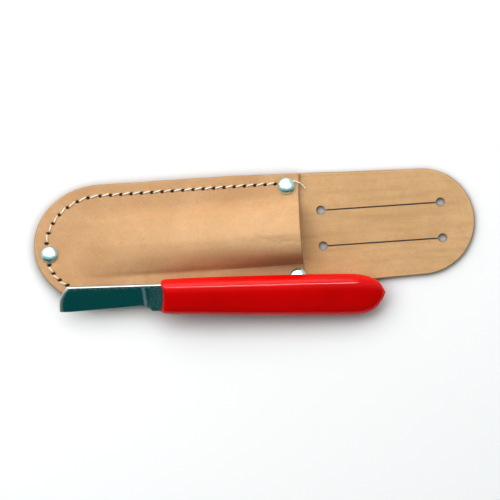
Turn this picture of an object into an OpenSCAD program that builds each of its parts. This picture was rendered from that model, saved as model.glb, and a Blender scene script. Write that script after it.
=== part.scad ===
// Fixed-blade grafting knife with a dipped handle, laid against its riveted leather belt sheath.
// Frame: +X runs along the sheath towards its belt end, +Z is up from the surface it lies on.
// The origin is on the back face of the leather, in the middle of the belt slits.

/* [Sheath leather] */
// Overall length of the back panel
sheath_length = 241.4; // [238:0.2:246]
// Half width of the sheath along the pocket
pocket_half_width = 31.9; // [31.5:0.1:33]
// Radius of the round belt end
belt_end_radius = 28.9; // [27:0.1:30]
// Thickness of each leather panel
leather = 2.4; // [2.2:0.1:2.5]
// Distance from the belt slits' centre to the pocket's mouth
mouth_distance = 43; // [42:0.5:45]
// Height that the pocket's mouth stands open
mouth_rise = 13.5; // [10:0.5:16]
// Half width of the open bulge at the mouth
bulge_half_width = 18.8; // [17:0.1:19]

/* [Belt slits] */
// Distance between the end holes of one slit
slit_length = 65.6; // [60:0.2:68]
// Distance between the two slits
slit_spacing = 19.6; // [16:0.2:24]
// Radius of the round hole at each end of a slit
slit_hole_radius = 2.4; // [2:0.1:3]
// Width of the cut between the two holes
slit_width = 0.8; // [0.6:0.1:1.2]

/* [Rivets and thread] */
// Diameter of a rivet's domed cap
rivet_cap_diameter = 9.2; // [8.6:0.1:9.4]
// Height of the dome above the leather
rivet_dome = 2.1; // [1.6:0.1:2.4]
// Radius of a rivet's shank
rivet_shank_radius = 1.5; // [1.3:0.1:1.6]
// Radius of the waxed thread
thread_radius = 0.42; // [0.35:0.01:0.5]
// Distance between stitches along a straight seam
stitch_pitch = 5.65; // [5.6:0.01:5.7]

/* [Knife] */
// Length of blade that shows in front of the handle
blade_length = 56.6; // [54:0.2:60]
// Width of the blade stock
blade_width = 16.2; // [15:0.1:17]
// Thickness of the blade stock
blade_thickness = 2.2; // [2:0.1:2.4]
// Length of the handle
handle_length = 121.2; // [118:0.1:126]
// Thickness of the dipped vinyl coat
coat = 1.2; // [1:0.1:1.4]
// Length of the tang inside the handle
tang_length = 98; // [90:1:102]
// Radius of the pins through the tang
pin_radius = 1.6; // [1.4:0.1:1.8]

/* [Lay of the knife] */
// Turn of the knife about the vertical, against the sheath
knife_yaw = -3; // [-3.2:0.1:-2.8]
// Lean of the knife about its own length, spine side up
knife_roll = 27; // [26.5:0.1:27.5]
// Slope of the knife's axis, butt end down
knife_pitch = 2.7; // [2.6:0.1:2.8]
// Height of the knife's axis where the handle begins
knife_height = 13.5; // [13.5:0.1:14]

/* [Hidden] */
$fn = 48;
eps = 0.01;

// Sheath outline
belt_reach = 50.8;                                   // slit centre to the belt end's tip
toe_x = belt_reach - sheath_length;                  // tip of the toe
toe_a = 37.2;                                        // the toe's half ellipse, along X
toe_b = pocket_half_width + 0.6;                     // and across, below the middle
toe_upper_b = toe_b + 0.3;                           // and above it
toe_cx = toe_x + toe_a;
toe_cy = -0.8;
belt_cx = belt_reach - belt_end_radius;
taper_x = -80;                                       // where the sides start to taper to the belt end
front_top = 2 * leather;                             // top of the stitched margin
mouth_x = -mouth_distance;
mouth_bow = 1.8;                                     // how far the mouth's edge is drawn back at its middle

// Rivets
toe_rivet = [toe_x + 8.1, -4.2];
upper_rivet = [mouth_x - 7.7, pocket_half_width - 7.5];
lower_rivet = [mouth_x - 4.6, 6.4 - pocket_half_width];
rivet_spots = [toe_rivet, upper_rivet, lower_rivet];
rivet_base = 1;                                      // thickness of the rear flange, flush in the leather
rivet_gap = 0.05;
rivet_head = 1;                                      // how far a post reaches into its cap
pocket_end = toe_rivet[0] + rivet_cap_diameter / 2 + 4; // where the pocket's rise has died out

// Stitch line
seam_y = pocket_half_width - 6.1;                    // upper straight seam
seam_low_y = 5.7 - pocket_half_width;                // lower straight seam
seam_cx = toe_x + 37.8;                              // centre of the curved seam round the toe
seam_cy = -1.8;
seam_a = 31;
seam_top_b = seam_y - seam_cy;
seam_low_b = seam_cy - seam_low_y;
seam_low_power = 2 / 2.4;                            // squarer lower corner
toe_step = 11.75;                                    // angle between the toe's stitches
toe_first = 78;
upper_first_x = upper_rivet[0] - 5.7;
lower_first_x = seam_cx + 2.4;
upper_straight = floor((upper_first_x - seam_cx) / stitch_pitch);
lower_straight = floor((lower_rivet[0] - rivet_cap_diameter / 2 - 1 - lower_first_x) / stitch_pitch);
strand_lift = 0.3;                                   // centre of a strand above the leather
strand_margin = 0.14;                                // share of the pitch left clear at a strand's ends
strand_slant = 0.8;                                  // outward shift of a strand's first end
groove_half = thread_radius + 0.25;
groove_depth = 2 * thread_radius + 0.1;
thread_bed = thread_radius + 0.05;                   // centre of a rear strand above the back face

// Knife, in its own frame: X from the handle's front to the butt, Y towards the spine
knife_x = -121.6;
knife_y = 0.4 - pocket_half_width;
plunge_x = -8.6;                                     // where the hollow grind ends
spine_drop = 1;                                      // fall of the spine from the handle to the tip
tip_sweep = 4.34;                                    // how far the tip's curve leans back at the spine
edge_y = -8.3;
heel_y = -5.2;
heel_x = -12.5;
ricasso_x = -5.8;
edge_thickness = 0.25;
wheel_radius = 80;                                   // hollow grinding wheel
spine_land = 1.2;                                    // flat strip between the spine and the grind
tang_half = 6.4;
tang_tip_half = 4.8;
tang_chamfer = 3;
core_end = handle_length - 2.1;
core_clearance = 0.03;
slot_clearance = 0.05;
pin_x = [22, 56, 90];
section_power = 3;                                   // squareness of the handle's section

// Handle stations: [X, value]
handle_top = [
    [0, 8.7], [0.6, 9.3], [2, 9.9], [20, 10.5], [55, 11.1], [80, 11.4], [100, 11.45], [106, 11.2],
    [111, 10.3], [115, 9], [118, 7.2], [120, 4.9], [121.4, 2.7], [122.3, 1.2]
];
handle_bottom = [
    [0, -8.2], [0.6, -8.8], [2, -9.4], [20, -10.1], [40, -10.7], [60, -11.2], [80, -11.6], [100, -11.8],
    [106, -11.75], [110, -11.3], [114.5, -9.9], [117, -8.1], [119.5, -5], [121.2, -2], [122.3, 0.3]
];
handle_thick = [
    [0, 4.5], [0.6, 5.1], [2, 5.6], [30, 6.2], [80, 6.4], [100, 6.3], [108, 5.8], [114, 4.7],
    [118.5, 3.1], [121, 1.7], [122.3, 0.7]
];
handle_stations = concat(
    [0, 0.6, 2], [for (x = [8 : 12 : 104]) x], [107, 110, 112.5, 115, 117, 118.7, 120.2, 121.4, 122.3]
);
ring_points = 32;

// ---- outline of the leather ----

function lerp(a, b, t) = a + (b - a) * t;
function clamp01(t) = min(1, max(0, t));
function toe_rise(x, b) = b * sqrt(max(0, 1 - pow((toe_cx - x) / toe_a, 2)));
function upper_side(x) =
    x < toe_cx ? toe_cy + toe_rise(x, toe_upper_b)
    : x < taper_x ? lerp(toe_cy + toe_upper_b, pocket_half_width, (x - toe_cx) / (taper_x - toe_cx))
    : lerp(pocket_half_width, belt_end_radius, (x - taper_x) / (belt_cx - taper_x));
function lower_side(x) =
    x < toe_cx ? toe_cy - toe_rise(x, toe_b)
    : x < taper_x ? lerp(toe_cy - toe_b, -pocket_half_width, (x - toe_cx) / (taper_x - toe_cx))
    : lerp(-pocket_half_width, -belt_end_radius, (x - taper_x) / (belt_cx - taper_x));

outline = concat(
    [for (a = [-88 : 5.5 : 88]) [belt_cx + belt_end_radius * cos(a), belt_end_radius * sin(a)]],
    [[taper_x, upper_side(taper_x)]],
    [for (a = [90 : -5 : 0]) [toe_cx - toe_a * cos(a), upper_side(toe_cx - toe_a * cos(a))]],
    [for (a = [5 : 5 : 90]) [toe_cx - toe_a * cos(a), lower_side(toe_cx - toe_a * cos(a))]],
    [[taper_x, lower_side(taper_x)]]
);

// ---- stitch holes, from the upper rivet round the toe to the lower rivet ----

function toe_hole(a) =
    a >= 0 ? [seam_cx - seam_a * cos(a), seam_cy + seam_top_b * sin(a)]
    : [seam_cx - seam_a * pow(cos(a), seam_low_power), seam_cy - seam_low_b * pow(sin(-a), seam_low_power)];

upper_holes = concat(
    [for (i = [0 : upper_straight]) [upper_first_x - i * stitch_pitch, seam_y]],
    [for (k = [0 : 6]) toe_hole(toe_first - k * toe_step)]
);
lower_holes = concat(
    [for (k = [8 : 14]) toe_hole(toe_first - k * toe_step)],
    [for (i = [0 : lower_straight]) [lower_first_x + i * stitch_pitch, seam_low_y]]
);
all_holes = concat(upper_holes, [toe_rivet], lower_holes);

// ---- rise of the pocket above the back panel ----

function mouth_share(x) = clamp01((mouth_x - x) / (mouth_x - pocket_end));
function rise_at(x) = mouth_rise * pow(max(0, cos(90 * mouth_share(x))), 1.15);
bulge_crest = -2.5;
upper_spread = 1.15;                                 // the moulded leather falls away gently above its crest
lower_spread = 0.89;                                 // and more steeply below it
function bulge_half(x) =
    bulge_half_width * sqrt(max(0.01, 1 - pow(max(0, seam_cx - x) / (seam_a - 2), 2)));
function gap_at(x, y) =
    let (s = (y - bulge_crest) / (bulge_half(x) * (y > bulge_crest ? upper_spread : lower_spread)))
    abs(s) >= 1 ? 0 : rise_at(x) * cos(90 * s);

// ---- leather ----

module seam_groove() {
    n = len(all_holes);
    side = [for (i = [0 : n - 1])
        let (a = all_holes[max(0, i - 1)], b = all_holes[min(n - 1, i + 1)], d = b - a, l = norm(d))
        [-d[1] / l, d[0] / l]];
    translate([0, 0, -eps])
        linear_extrude(groove_depth)
            polygon(concat(
                [for (i = [0 : n - 1]) all_holes[i] + side[i] * groove_half],
                [for (i = [n - 1 : -1 : 0]) all_holes[i] - side[i] * groove_half]
            ));
}

module belt_slits() {
    for (side = [-1, 1]) translate([0, side * slit_spacing / 2, -1]) {
        translate([-slit_length / 2, -slit_width / 2, 0]) cube([slit_length, slit_width, leather + 2]);
        for (end = [-1, 1]) translate([end * slit_length / 2, 0, 0])
            cylinder(h = leather + 2, r = slit_hole_radius);
    }
}

module rivet_seats() {
    for (p = rivet_spots) translate([p[0], p[1], -1]) {
        cylinder(h = 10, r = rivet_shank_radius + rivet_gap);
        cylinder(h = 1 + rivet_base, r = rivet_cap_diameter / 2 + rivet_gap);
    }
}

module back_panel() {
    color([0.83, 0.64, 0.45]) difference() {
        linear_extrude(leather) polygon(outline);
        belt_slits();
        rivet_seats();
        seam_groove();
    }
}

// Stations from the toe (0) to the mouth (1), closer together round the toe.
toe_tip_angle = 7;
panel_rows = concat(
    [for (a = [toe_tip_angle : 7.5 : 89]) toe_cx - toe_a * cos(a)],
    [for (i = [0 : 17]) lerp(toe_cx, mouth_x, i / 17)]
);
panel_columns = concat(
    [-1, -0.94, -0.86, -0.78, -0.7], [for (v = [-0.625 : 0.075 : 0.65]) v], [0.7, 0.78, 0.86, 0.94, 1]
);

function panel_point(row, v, top) =
    let (
        share = (panel_rows[row] - panel_rows[0]) / (mouth_x - panel_rows[0]),
        x = panel_rows[row] - mouth_bow * (1 - v * v) * pow(share, 6),
        mid = (upper_side(x) + lower_side(x)) / 2,
        half = (upper_side(x) - lower_side(x)) / 2,
        y = mid + v * half
    )
    [x, y, (top ? front_top : leather) + gap_at(x, y)];

module front_panel() {
    rows = len(panel_rows);
    columns = len(panel_columns);
    under = rows * columns;
    points = concat(
        [for (i = [0 : rows - 1]) for (v = panel_columns) panel_point(i, v, true)],
        [for (i = [0 : rows - 1]) for (v = panel_columns) panel_point(i, v, false)]
    );
    grid = [for (i = [0 : rows - 2]) for (j = [0 : columns - 2])
        let (a = i * columns + j) [a, a + columns, a + columns + 1, a + 1]];
    upper_faces = [for (f = grid) each [[f[2], f[1], f[0]], [f[3], f[2], f[0]]]];
    lower_faces = [for (f = grid) each [
        [f[0] + under, f[1] + under, f[2] + under], [f[0] + under, f[2] + under, f[3] + under]]];
    rim = concat(
        [for (j = [0 : columns - 1]) j],
        [for (i = [1 : rows - 1]) i * columns + columns - 1],
        [for (j = [columns - 2 : -1 : 0]) (rows - 1) * columns + j],
        [for (i = [rows - 2 : -1 : 1]) i * columns]
    );
    walls = [for (k = [0 : len(rim) - 1])
        let (a = rim[k], b = rim[(k + 1) % len(rim)]) each [[a, b, b + under], [a, b + under, a + under]]];
    color([0.87, 0.68, 0.49]) difference() {
        polyhedron(points = points, faces = concat(upper_faces, lower_faces, walls));
        for (p = rivet_spots)
            translate([p[0], p[1], leather - 1])
                cylinder(h = leather + 2, r = rivet_shank_radius + rivet_gap);
    }
}

// ---- thread ----

module strand(a, b, z) {
    d = b - a;
    translate([a[0], a[1], z]) rotate([0, 90, atan2(d[1], d[0])])
        cylinder(h = norm(d), r = thread_radius, $fn = 16);
}

// Strands of the top thread lie aslant between neighbouring holes.
module front_strands(holes) {
    for (i = [0 : len(holes) - 2]) {
        d = holes[i + 1] - holes[i];
        side = [-d[1], d[0]] / norm(d) * strand_slant;
        in = d * strand_margin;
        strand(holes[i] + in - side, holes[i + 1] - in, front_top + strand_lift);
    }
}

// The thread goes down through both leathers at every hole.
module thread_legs(holes) {
    for (p = holes) translate([p[0], p[1], thread_radius])
        cylinder(h = front_top + strand_lift - thread_radius, r = thread_radius, $fn = 16);
}

module front_thread() {
    color([0.93, 0.9, 0.82]) {
        front_strands(upper_holes);
        front_strands(lower_holes);
        thread_legs(upper_holes);
        thread_legs(lower_holes);
    }
}

module back_strands(holes) {
    for (i = [0 : len(holes) - 2]) {
        d = holes[i + 1] - holes[i];
        strand(holes[i] + d * strand_margin / 2, holes[i + 1] - d * strand_margin / 2, thread_bed);
    }
}

module back_thread() {
    color([0.93, 0.9, 0.82]) {
        back_strands(upper_holes);
        back_strands(lower_holes);
    }
}

// The cut end of the top thread leaves the upper rivet and hangs over the mouth's edge.
tail_radius = 0.36;
tail_points = [
    [-3.1, 0.85, front_top + 0.42], [-2.1, 0.5, front_top + 0.45], [-1.1, 0.05, front_top + 0.45],
    [-0.1, -0.45, front_top + 0.25], [0.6, -1.05, front_top - 0.6], [1.2, -1.75, leather + 1.35],
    [1.8, -2.55, leather + 0.75], [2.5, -3.5, leather + 0.42]
];
tail_across = [0.65, 0.75, 0];                       // the tail's level sideways direction

module thread_tail() {
    sides = 8;
    n = len(tail_points);
    points = [for (p = tail_points) for (k = [0 : sides - 1]) let (a = k * 360 / sides)
        [mouth_x, seam_y, 0] + p + tail_radius * (cos(a) * tail_across + sin(a) * [0, 0, 1])];
    walls = [for (i = [0 : n - 2]) for (k = [0 : sides - 1])
        let (a = i * sides + k, b = i * sides + (k + 1) % sides)
        each [[a, b + sides, b], [a, a + sides, b + sides]]];
    color([0.93, 0.9, 0.82]) polyhedron(
        points = points,
        faces = concat(
            [[for (k = [0 : sides - 1]) k]], walls, [[for (k = [sides - 1 : -1 : 0]) (n - 1) * sides + k]]
        )
    );
}

// ---- double-cap rivets ----

module rivet_cap(p) {
    r = rivet_cap_diameter / 2;
    ball = (r * r + rivet_dome * rivet_dome) / (2 * rivet_dome);
    color([0.75, 0.8, 0.8]) translate([p[0], p[1], front_top]) difference() {
        intersection() {
            translate([0, 0, rivet_dome - ball]) sphere(r = ball, $fn = 96);
            cylinder(h = rivet_dome + 1, r = r - 0.02);
        }
        translate([0, 0, -1]) cylinder(h = 1 + rivet_head + rivet_gap, r = rivet_shank_radius + rivet_gap);
    }
}

module rivet_post(p) {
    color([0.7, 0.72, 0.7]) translate([p[0], p[1], 0]) {
        cylinder(h = rivet_base, r = rivet_cap_diameter / 2);
        cylinder(h = front_top + rivet_head, r = rivet_shank_radius);
    }
}

// ---- knife ----

module lay_knife() {
    translate([knife_x, knife_y, knife_height]) rotate([0, 0, knife_yaw])
        rotate([0, knife_pitch, 0]) rotate([knife_roll, 0, 0]) children();
}

blade_half = blade_width / 2;
tip_top = blade_half - spine_drop;
blade_tip = -blade_length;
function tip_curve(y) = blade_tip + tip_sweep * pow(max(0, y + 4) / (tip_top + 4), 2);

blade_outline = concat(
    [[0, blade_half]],
    [for (i = [0 : 10]) let (y = lerp(tip_top, -5, i / 10)) [tip_curve(y), y]],
    [[blade_tip, edge_y + 0.3], [blade_tip + 1.2, edge_y], [blade_tip + 6, edge_y - 0.05]],
    [for (i = [0 : 6]) let (t = i / 6) [lerp(heel_x, ricasso_x, t), lerp(heel_y, -blade_half, t * t)]]
);
shoulder_x = 0.8;
tang_lower = [
    [shoulder_x, -blade_half], [4, -tang_half], [tang_length - tang_chamfer, -tang_tip_half],
    [tang_length, tang_chamfer - tang_tip_half]
];
tang_outline = concat(
    tang_lower, [for (i = [len(tang_lower) - 1 : -1 : 0]) [tang_lower[i][0], -tang_lower[i][1]]]
);

// One face of the hollow grind: a wheel whose rim passes through the spine line and the edge.
module grinding_wheel() {
    top = [tip_top - spine_land, blade_thickness / 2];
    edge = [edge_y, edge_thickness / 2];
    chord = top - edge;
    mid = (top + edge) / 2;
    out = [-chord[1], chord[0]] / norm(chord);
    reach = sqrt(pow(wheel_radius, 2) - pow(norm(chord) / 2, 2));
    centre = mid + out * reach;
    translate([blade_tip - 5, centre[0], centre[1]]) rotate([0, 90, 0])
        cylinder(h = plunge_x - blade_tip + 5, r = wheel_radius, $fn = 360);
}

module blade() {
    color([0.25, 0.45, 0.46]) lay_knife() difference() {
        translate([0, 0, -blade_thickness / 2])
            linear_extrude(blade_thickness) polygon(concat(blade_outline, tang_outline));
        grinding_wheel();
        mirror([0, 0, 1]) grinding_wheel();
        for (x = pin_x) translate([x, 0, -5]) cylinder(h = 10, r = pin_radius + slot_clearance);
    }
}

// A ring of the handle at X, drawn in by inset all round.
function handle_ring(x, inset) =
    let (
        top = lookup(x, handle_top) - inset,
        low = lookup(x, handle_bottom) + inset,
        t = max(0.3, lookup(x, handle_thick) - inset),
        mid = (top + low) / 2,
        w = max(0.3, (top - low) / 2)
    )
    [for (k = [0 : ring_points - 1])
        let (a = k * 360 / ring_points, c = cos(a), s = sin(a))
        [mid + w * sign(c) * pow(abs(c), 2 / section_power), t * sign(s) * pow(abs(s), 2 / section_power)]];

module handle_loft(stations, inset, front, back) {
    n = len(stations);
    points = [for (i = [0 : n - 1]) for (q = handle_ring(stations[i], inset))
        [lerp(front, back, (stations[i] - stations[0]) / (stations[n - 1] - stations[0])), q[0], q[1]]];
    walls = [for (i = [0 : n - 2]) for (k = [0 : ring_points - 1])
        let (a = i * ring_points + k, b = i * ring_points + (k + 1) % ring_points)
        each [[a, b + ring_points, b], [a, a + ring_points, b + ring_points]]];
    polyhedron(
        points = points,
        faces = concat(
            [[for (k = [0 : ring_points - 1]) k]], walls,
            [[for (k = [ring_points - 1 : -1 : 0]) (n - 1) * ring_points + k]]
        )
    );
}

core_stations = concat([2], [for (x = [8 : 12 : 104]) x], [107, 110, 112.5, 115, 117, 118.7, 120.2]);

module core(inset) {
    handle_loft(core_stations, inset, coat + 0.02, core_end);
}

module handle_half(side) {
    color([0.72, 0.55, 0.36]) lay_knife() difference() {
        intersection() {
            core(coat + core_clearance);
            translate([-5, -20, side > 0 ? 0.02 : -20]) cube([140, 40, 19.98]);
        }
        translate([0, 0, -blade_thickness / 2 - core_clearance])
            linear_extrude(blade_thickness + 2 * core_clearance)
                offset(delta = slot_clearance) polygon(tang_outline);
        for (x = pin_x) translate([x, 0, -10]) cylinder(h = 20, r = pin_radius + slot_clearance);
    }
}

module tang_pin(x) {
    reach = lookup(x, handle_thick) - coat - 0.4;
    color([0.6, 0.62, 0.62]) lay_knife() translate([x, 0, -reach]) cylinder(h = 2 * reach, r = pin_radius);
}

module vinyl_coat() {
    color([0.8, 0.02, 0.02]) lay_knife() difference() {
        handle_loft(handle_stations, 0, 0, handle_length);
        core(coat);
        translate([-1, -blade_half - slot_clearance, -blade_thickness / 2 - slot_clearance])
            cube([3.5, blade_width + 2 * slot_clearance, blade_thickness + 2 * slot_clearance]);
    }
}

back_panel();
front_panel();
front_thread();
back_thread();
thread_tail();
rivet_cap(toe_rivet);  // toe_rivet_cap
rivet_post(toe_rivet);  // toe_rivet_post
rivet_cap(upper_rivet);  // upper_rivet_cap
rivet_post(upper_rivet);  // upper_rivet_post
rivet_cap(lower_rivet);  // lower_rivet_cap
rivet_post(lower_rivet);  // lower_rivet_post
blade();
handle_half(1);  // front_handle_half
handle_half(-1);  // rear_handle_half
tang_pin(pin_x[0]);  // tang_pin_1
tang_pin(pin_x[1]);  // tang_pin_2
tang_pin(pin_x[2]);  // tang_pin_3
vinyl_coat();
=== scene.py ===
"""Looks of a grafting knife that lies against its leather belt sheath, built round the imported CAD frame.

Shapes are worked out in millimetres in the frame's own axes: +X along the sheath towards its belt end,
+Z up from the surface it lies on. They are scaled to metres as each mesh becomes an object.
"""

from __future__ import annotations

import logging
import math
from collections.abc import Callable, Sequence
from dataclasses import dataclass, field
from enum import Enum

import bmesh
import bpy
from mathutils import Matrix, Vector, kdtree, noise

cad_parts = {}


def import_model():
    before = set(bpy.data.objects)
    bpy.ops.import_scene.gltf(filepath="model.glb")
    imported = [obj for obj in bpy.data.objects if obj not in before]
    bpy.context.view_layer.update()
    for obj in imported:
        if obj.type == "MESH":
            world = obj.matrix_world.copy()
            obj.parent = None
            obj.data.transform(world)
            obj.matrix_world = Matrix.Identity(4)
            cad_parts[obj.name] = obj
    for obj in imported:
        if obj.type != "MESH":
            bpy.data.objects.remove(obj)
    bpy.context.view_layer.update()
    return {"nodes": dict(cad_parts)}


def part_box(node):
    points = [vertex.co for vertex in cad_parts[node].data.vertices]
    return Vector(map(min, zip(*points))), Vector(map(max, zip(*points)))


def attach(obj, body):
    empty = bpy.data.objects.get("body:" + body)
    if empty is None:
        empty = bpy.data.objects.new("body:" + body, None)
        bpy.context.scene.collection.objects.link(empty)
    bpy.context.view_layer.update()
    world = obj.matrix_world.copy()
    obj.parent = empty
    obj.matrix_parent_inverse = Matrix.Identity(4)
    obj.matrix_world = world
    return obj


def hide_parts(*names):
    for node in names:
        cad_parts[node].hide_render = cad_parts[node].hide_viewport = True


MM = 0.001  # metres in a millimetre
WELD = 0.0004  # millimetres within which points are one point
LOG = logging.getLogger("grafting_knife")

Shape = Callable[[int, int], Vector]
Stations = Sequence[tuple[float, float]]


# ---------------------------------------------------------------- sums


def clamp(value: float, low: float = 0.0, high: float = 1.0) -> float:
    """Returns value, kept between low and high."""
    return max(low, min(high, value))


def lerp(start: float, end: float, share: float) -> float:
    """Returns the number a share of the way from start to end."""
    return start + (end - start) * share


def ease(share: float) -> float:
    """Returns a share that leaves 0 and reaches 1 with no slope, for rounded transitions."""
    t = clamp(share)
    return t * t * (3 - 2 * t)


def round_over(depth: float, radius: float) -> float:
    """How far a rounded edge has dropped.

    Args:
        depth: Distance in from the edge.
        radius: The edge's radius.

    Returns:
        The drop below the flat face, 0 once depth passes the radius.
    """
    if depth >= radius:
        return 0.0
    return radius - math.sqrt(max(0.0, radius**2 - (radius - depth) ** 2))


def through(stations: Stations, x: float) -> float:
    """Follows a smooth curve through stations.

    Args:
        stations: (position, value) pairs in rising order of position.
        x: Position to read.

    Returns:
        The value at x, on a cubic that doesn't overshoot its stations.
    """
    if x <= stations[0][0]:
        return stations[0][1]
    if x >= stations[-1][0]:
        return stations[-1][1]
    i = max(k for k in range(len(stations) - 1) if stations[k][0] <= x)
    slopes = []
    for k in (i, i + 1):
        sides = [
            (stations[j + 1][1] - stations[j][1]) / (stations[j + 1][0] - stations[j][0])
            for j in (k - 1, k)
            if 0 <= j < len(stations) - 1
        ]
        flat = len(sides) == 2 and sides[0] * sides[1] <= 0
        slopes.append(0.0 if flat else len(sides) / sum(1 / (s or 1e-9) for s in sides))
    (x0, y0), (x1, y1) = stations[i], stations[i + 1]
    span = x1 - x0
    t = (x - x0) / span
    return (
        (2 * t**3 - 3 * t**2 + 1) * y0
        + (t**3 - 2 * t**2 + t) * span * slopes[0]
        + (3 * t**2 - 2 * t**3) * y1
        + (t**3 - t**2) * span * slopes[1]
    )


def ripple(x: float, y: float, wavelength: float, seed: float) -> float:
    """Returns a smooth seeded unevenness between about -1 and 1 at a place on the leather."""
    return noise.noise(Vector((x / wavelength, y / wavelength, seed)))


# ---------------------------------------------------------------- meshes


def bent_sheet(columns: int, rows: int, shape: Shape, layer: str = "", mark: Shape | None = None) -> bmesh.types.BMesh:
    """Bends a flat grid to a shape, and welds the points that meet.

    Args:
        columns: Points across the grid.
        rows: Points along the grid.
        shape: Gives the place of the point in a column and row.
        layer: Name of an optional number kept on each point.
        mark: Gives that number for a column and row.

    Returns:
        The bent mesh, open or closed as its shape makes it.
    """
    bm = bmesh.new()
    bmesh.ops.create_grid(bm, x_segments=columns - 1, y_segments=rows - 1, size=1.0)
    values = bm.verts.layers.float.new(layer) if layer else None
    for vert in bm.verts:
        column = round((vert.co.x + 1) / 2 * (columns - 1))
        row = round((vert.co.y + 1) / 2 * (rows - 1))
        if values is not None and mark is not None:
            vert[values] = mark(column, row)
        vert.co = shape(column, row)
    bmesh.ops.remove_doubles(bm, verts=bm.verts, dist=WELD)
    bmesh.ops.dissolve_degenerate(bm, dist=WELD / 4, edges=bm.edges)
    bmesh.ops.recalc_face_normals(bm, faces=bm.faces)
    return bm


def spun(profile: Sequence[tuple[float, float]], steps: int = 48) -> bmesh.types.BMesh:
    """Turns a profile about the Z axis into a closed solid.

    Args:
        profile: (radius, height) points from the axis round to the axis.
        steps: Facets round the axis.

    Returns:
        The turned mesh.
    """
    bm = bmesh.new()
    verts = [bm.verts.new((radius, 0, height)) for radius, height in profile]
    edges = [bm.edges.new(pair) for pair in zip(verts, verts[1:])]
    bmesh.ops.spin(
        bm, geom=verts + edges, cent=(0, 0, 0), axis=(0, 0, 1), angle=2 * math.pi, steps=steps, use_merge=True
    )
    bmesh.ops.remove_doubles(bm, verts=bm.verts, dist=WELD)
    bmesh.ops.recalc_face_normals(bm, faces=bm.faces)
    return bm


def as_piece(bm: bmesh.types.BMesh, name: str, place: Matrix | None = None, crease: float = 40) -> bpy.types.Object:
    """Turns a mesh in millimetres into a smooth-shaded object at the origin, in metres.

    Args:
        bm: The mesh, which is used up.
        name: The piece's name.
        place: Where the mesh goes in the frame, in millimetres.
        crease: Angle in degrees above which an edge stays sharp.

    Returns:
        The new object, linked to the scene.
    """
    bmesh.ops.transform(bm, matrix=Matrix.Scale(MM, 4) @ (place or Matrix.Identity(4)), verts=bm.verts)
    mesh = bpy.data.meshes.new(name)
    bm.to_mesh(mesh)
    bm.free()
    mesh.shade_smooth()
    mesh.set_sharp_from_angle(angle=math.radians(crease))
    obj = bpy.data.objects.new(name, mesh)
    bpy.context.scene.collection.objects.link(obj)
    return obj


def joined(parts: Sequence[bmesh.types.BMesh]) -> bmesh.types.BMesh:
    """Gathers several meshes into one.

    Args:
        parts: The meshes, which are used up.

    Returns:
        One mesh that holds them all.
    """
    whole = bmesh.new()
    for part in parts:
        loose = bpy.data.meshes.new("loose")
        part.to_mesh(loose)
        part.free()
        whole.from_mesh(loose)
        bpy.data.meshes.remove(loose)
    return whole


def cut_away(piece: bpy.types.Object, cutter: bmesh.types.BMesh, place: Matrix | None = None) -> None:
    """Cuts a shape out of a finished piece.

    Args:
        piece: The piece, whose mesh is replaced.
        cutter: What is taken away, in millimetres; it is used up.
        place: Where the cutter goes in the frame.
    """
    tool = as_piece(cutter, "cutter", place)
    modifier = piece.modifiers.new("cut", "BOOLEAN")
    modifier.object, modifier.solver, modifier.operation = tool, "EXACT", "DIFFERENCE"
    modifier.use_self = False
    bpy.context.view_layer.update()
    whole = bpy.data.meshes.new_from_object(piece.evaluated_get(bpy.context.evaluated_depsgraph_get()))
    old = piece.data
    piece.modifiers.clear()
    piece.data = whole
    whole.name = piece.name
    bpy.data.meshes.remove(old)
    bpy.data.objects.remove(tool)
    piece.data.set_sharp_from_angle(angle=math.radians(40))


# ---------------------------------------------------------------- finishes


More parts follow.
